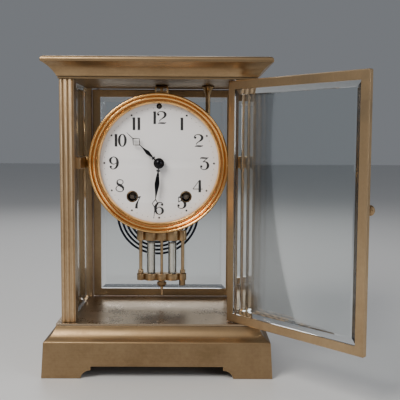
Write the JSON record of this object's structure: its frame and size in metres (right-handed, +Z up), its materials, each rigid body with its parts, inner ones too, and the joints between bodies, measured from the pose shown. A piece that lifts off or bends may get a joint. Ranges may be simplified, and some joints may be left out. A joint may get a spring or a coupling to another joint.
{
  "type": "four-glass mantel clock",
  "caption": "Brass mantel clock with a glazed case on a moulded plinth, hinged doors front and rear, round enamel dial, coiled gong and a twin-vial pendulum.",
  "frame": {"origin": "the middle of the front left foot's sole, on the plane the clock stands on", "axes": "+Z up; +X to the right as seen from the dial's side; the dial faces -Y"},
  "size_m": [0.257, 0.2191, 0.268],
  "materials": {
    "aged_brass": "satin, aged",
    "door_brass": "satin, rubbed brighter",
    "gilt_brass": "gilt, polished",
    "movement_brass": "polished",
    "clear_glass": "clear, bevelled",
    "white_enamel": "fired white enamel",
    "black_steel": "blackened",
    "blued_steel": "blued",
    "steel": "polished",
    "mercury_glass": "silvery"
  },
  "bodies": {
    "case": {"base_plinth": "aged_brass", "base_plate": "aged_brass", "column_front_left": "aged_brass", "column_front_right": "aged_brass", "column_rear_right": "aged_brass", "column_rear_left": "aged_brass", "top_plate": "aged_brass", "cornice": "aged_brass", "side_glass_left": "clear_glass", "side_glass_right": "clear_glass", "side_rail_left": "door_brass", "side_rail_right": "door_brass", "movement_drum": "movement_brass", "bezel": "gilt_brass", "dial": "white_enamel", "time_grommet": "gilt_brass", "strike_grommet": "gilt_brass", "front_movement_plate": "movement_brass", "back_movement_plate": "movement_brass", "movement_pillar_1": "movement_brass", "movement_pillar_2": "movement_brass", "movement_pillar_3": "movement_brass", "movement_pillar_4": "movement_brass", "suspension_cock": "movement_brass", "gong": "blued_steel", "gong_post": "aged_brass"},
    "front_door": {"front_door_frame": "door_brass", "front_door_glass": "clear_glass", "front_door_pin_bottom": "steel", "front_door_pin_top": "steel", "front_door_knob": "aged_brass"},
    "rear_door": {"rear_door_frame": "door_brass", "rear_door_glass": "clear_glass", "rear_door_pin_bottom": "steel", "rear_door_pin_top": "steel", "rear_door_knob": "aged_brass"},
    "minute": {"minute_hand": "black_steel", "hand_nut": "black_steel", "centre_wheel": "movement_brass"},
    "hour": {"hour_hand": "black_steel"},
    "time_barrel": {"time_barrel": "movement_brass"},
    "strike_barrel": {"strike_barrel": "movement_brass"},
    "second_wheel": {"second_wheel": "movement_brass"},
    "third_wheel": {"third_wheel": "movement_brass"},
    "escape_wheel": {"escape_wheel": "movement_brass"},
    "time_winding": {"time_winding_arbor": "steel"},
    "strike_winding": {"strike_winding_arbor": "steel"},
    "regulator": {"regulator_arbor": "steel"},
    "pallets": {"pallets": "steel", "crutch": "steel"},
    "pendulum": {"suspension_spring": "steel", "pendulum_rod": "door_brass", "pendulum_top_plate": "aged_brass", "pendulum_bottom_plate": "aged_brass", "vial_left": "mercury_glass", "vial_right": "mercury_glass", "pendulum_side_rod_left": "door_brass", "pendulum_side_rod_right": "door_brass"},
    "rating_nut": {"rating_nut": "aged_brass"},
    "hammer": {"gong_hammer": "steel"}
  },
  "joints": [
    {"name": "front_door_hinge", "type": "hinge", "parent": "case", "child": "front_door", "pos_m": [0.1449, 0.0146, 0.146], "axis": [0, 0, 1], "range_deg": [-132, 2]},
    {"name": "rear_door_hinge", "type": "hinge", "parent": "case", "child": "rear_door", "pos_m": [0.0165, 0.1156, 0.146], "axis": [0, 0, 1], "range_deg": [0, 132]},
    {"name": "minute_hand_arbor", "type": "hinge", "parent": "case", "child": "minute", "pos_m": [0.0807, 0.0451, 0.1798], "axis": [0, 1, 0], "continuous": true},
    {"name": "hour_hand_pipe", "type": "hinge", "parent": "case", "child": "hour", "pos_m": [0.0807, 0.0301, 0.1798], "axis": [0, 1, 0], "continuous": true},
    {"name": "time_barrel_arbor", "type": "hinge", "parent": "case", "child": "time_barrel", "pos_m": [0.1041, 0.0501, 0.1506], "axis": [0, 1, 0], "continuous": true},
    {"name": "strike_barrel_arbor", "type": "hinge", "parent": "case", "child": "strike_barrel", "pos_m": [0.0573, 0.0501, 0.1506], "axis": [0, 1, 0], "continuous": true},
    {"name": "second_arbor", "type": "hinge", "parent": "case", "child": "second_wheel", "pos_m": [0.09946, 0.0531, 0.17129], "axis": [0, 1, 0], "continuous": true},
    {"name": "third_arbor", "type": "hinge", "parent": "case", "child": "third_wheel", "pos_m": [0.0905, 0.0531, 0.19677], "axis": [0, 1, 0], "continuous": true},
    {"name": "escape_arbor", "type": "hinge", "parent": "case", "child": "escape_wheel", "pos_m": [0.0807, 0.0531, 0.21091], "axis": [0, 1, 0], "continuous": true},
    {"name": "time_winding", "type": "hinge", "parent": "case", "child": "time_winding", "pos_m": [0.1041, 0.0501, 0.1506], "axis": [0, 1, 0], "range_deg": [0, 1080]},
    {"name": "strike_winding", "type": "hinge", "parent": "case", "child": "strike_winding", "pos_m": [0.0573, 0.0501, 0.1506], "axis": [0, 1, 0], "range_deg": [-1080, 0]},
    {"name": "regulator_turn", "type": "hinge", "parent": "case", "child": "regulator", "pos_m": [0.0807, 0.0501, 0.229], "axis": [0, 1, 0], "range_deg": [-720, 720]},
    {"name": "pallet_rock", "type": "hinge", "parent": "case", "child": "pallets", "pos_m": [0.0807, 0.0501, 0.22441], "axis": [0, 1, 0], "range_deg": [-5, 5]},
    {"name": "pendulum_swing", "type": "hinge", "parent": "case", "child": "pendulum", "pos_m": [0.0807, 0.0775, 0.243], "axis": [0, 1, 0], "range_deg": [-2.5, 2.5]},
    {"name": "rating_nut_turn", "type": "hinge", "parent": "pendulum", "child": "rating_nut", "pos_m": [0.0807, 0.0775, 0.064], "axis": [0, 0, 1], "range_deg": [-720, 720]},
    {"name": "hammer_lift", "type": "hinge", "parent": "case", "child": "hammer", "pos_m": [0.0467, 0.0751, 0.164], "axis": [0, 1, 0], "range_deg": [0, 12]}
  ],
  "couplings": [
    {"joint": "hour_hand_pipe", "follows": "minute_hand_arbor", "ratio": 0.083333},
    {"joint": "second_arbor", "follows": "minute_hand_arbor", "ratio": -0.16667},
    {"joint": "time_barrel_arbor", "follows": "minute_hand_arbor", "ratio": 0.027778},
    {"joint": "third_arbor", "follows": "minute_hand_arbor", "ratio": -6},
    {"joint": "escape_arbor", "follows": "minute_hand_arbor", "ratio": 31.5},
    {"joint": "pallet_rock", "follows": "pendulum_swing", "ratio": 1.9295}
  ]
}
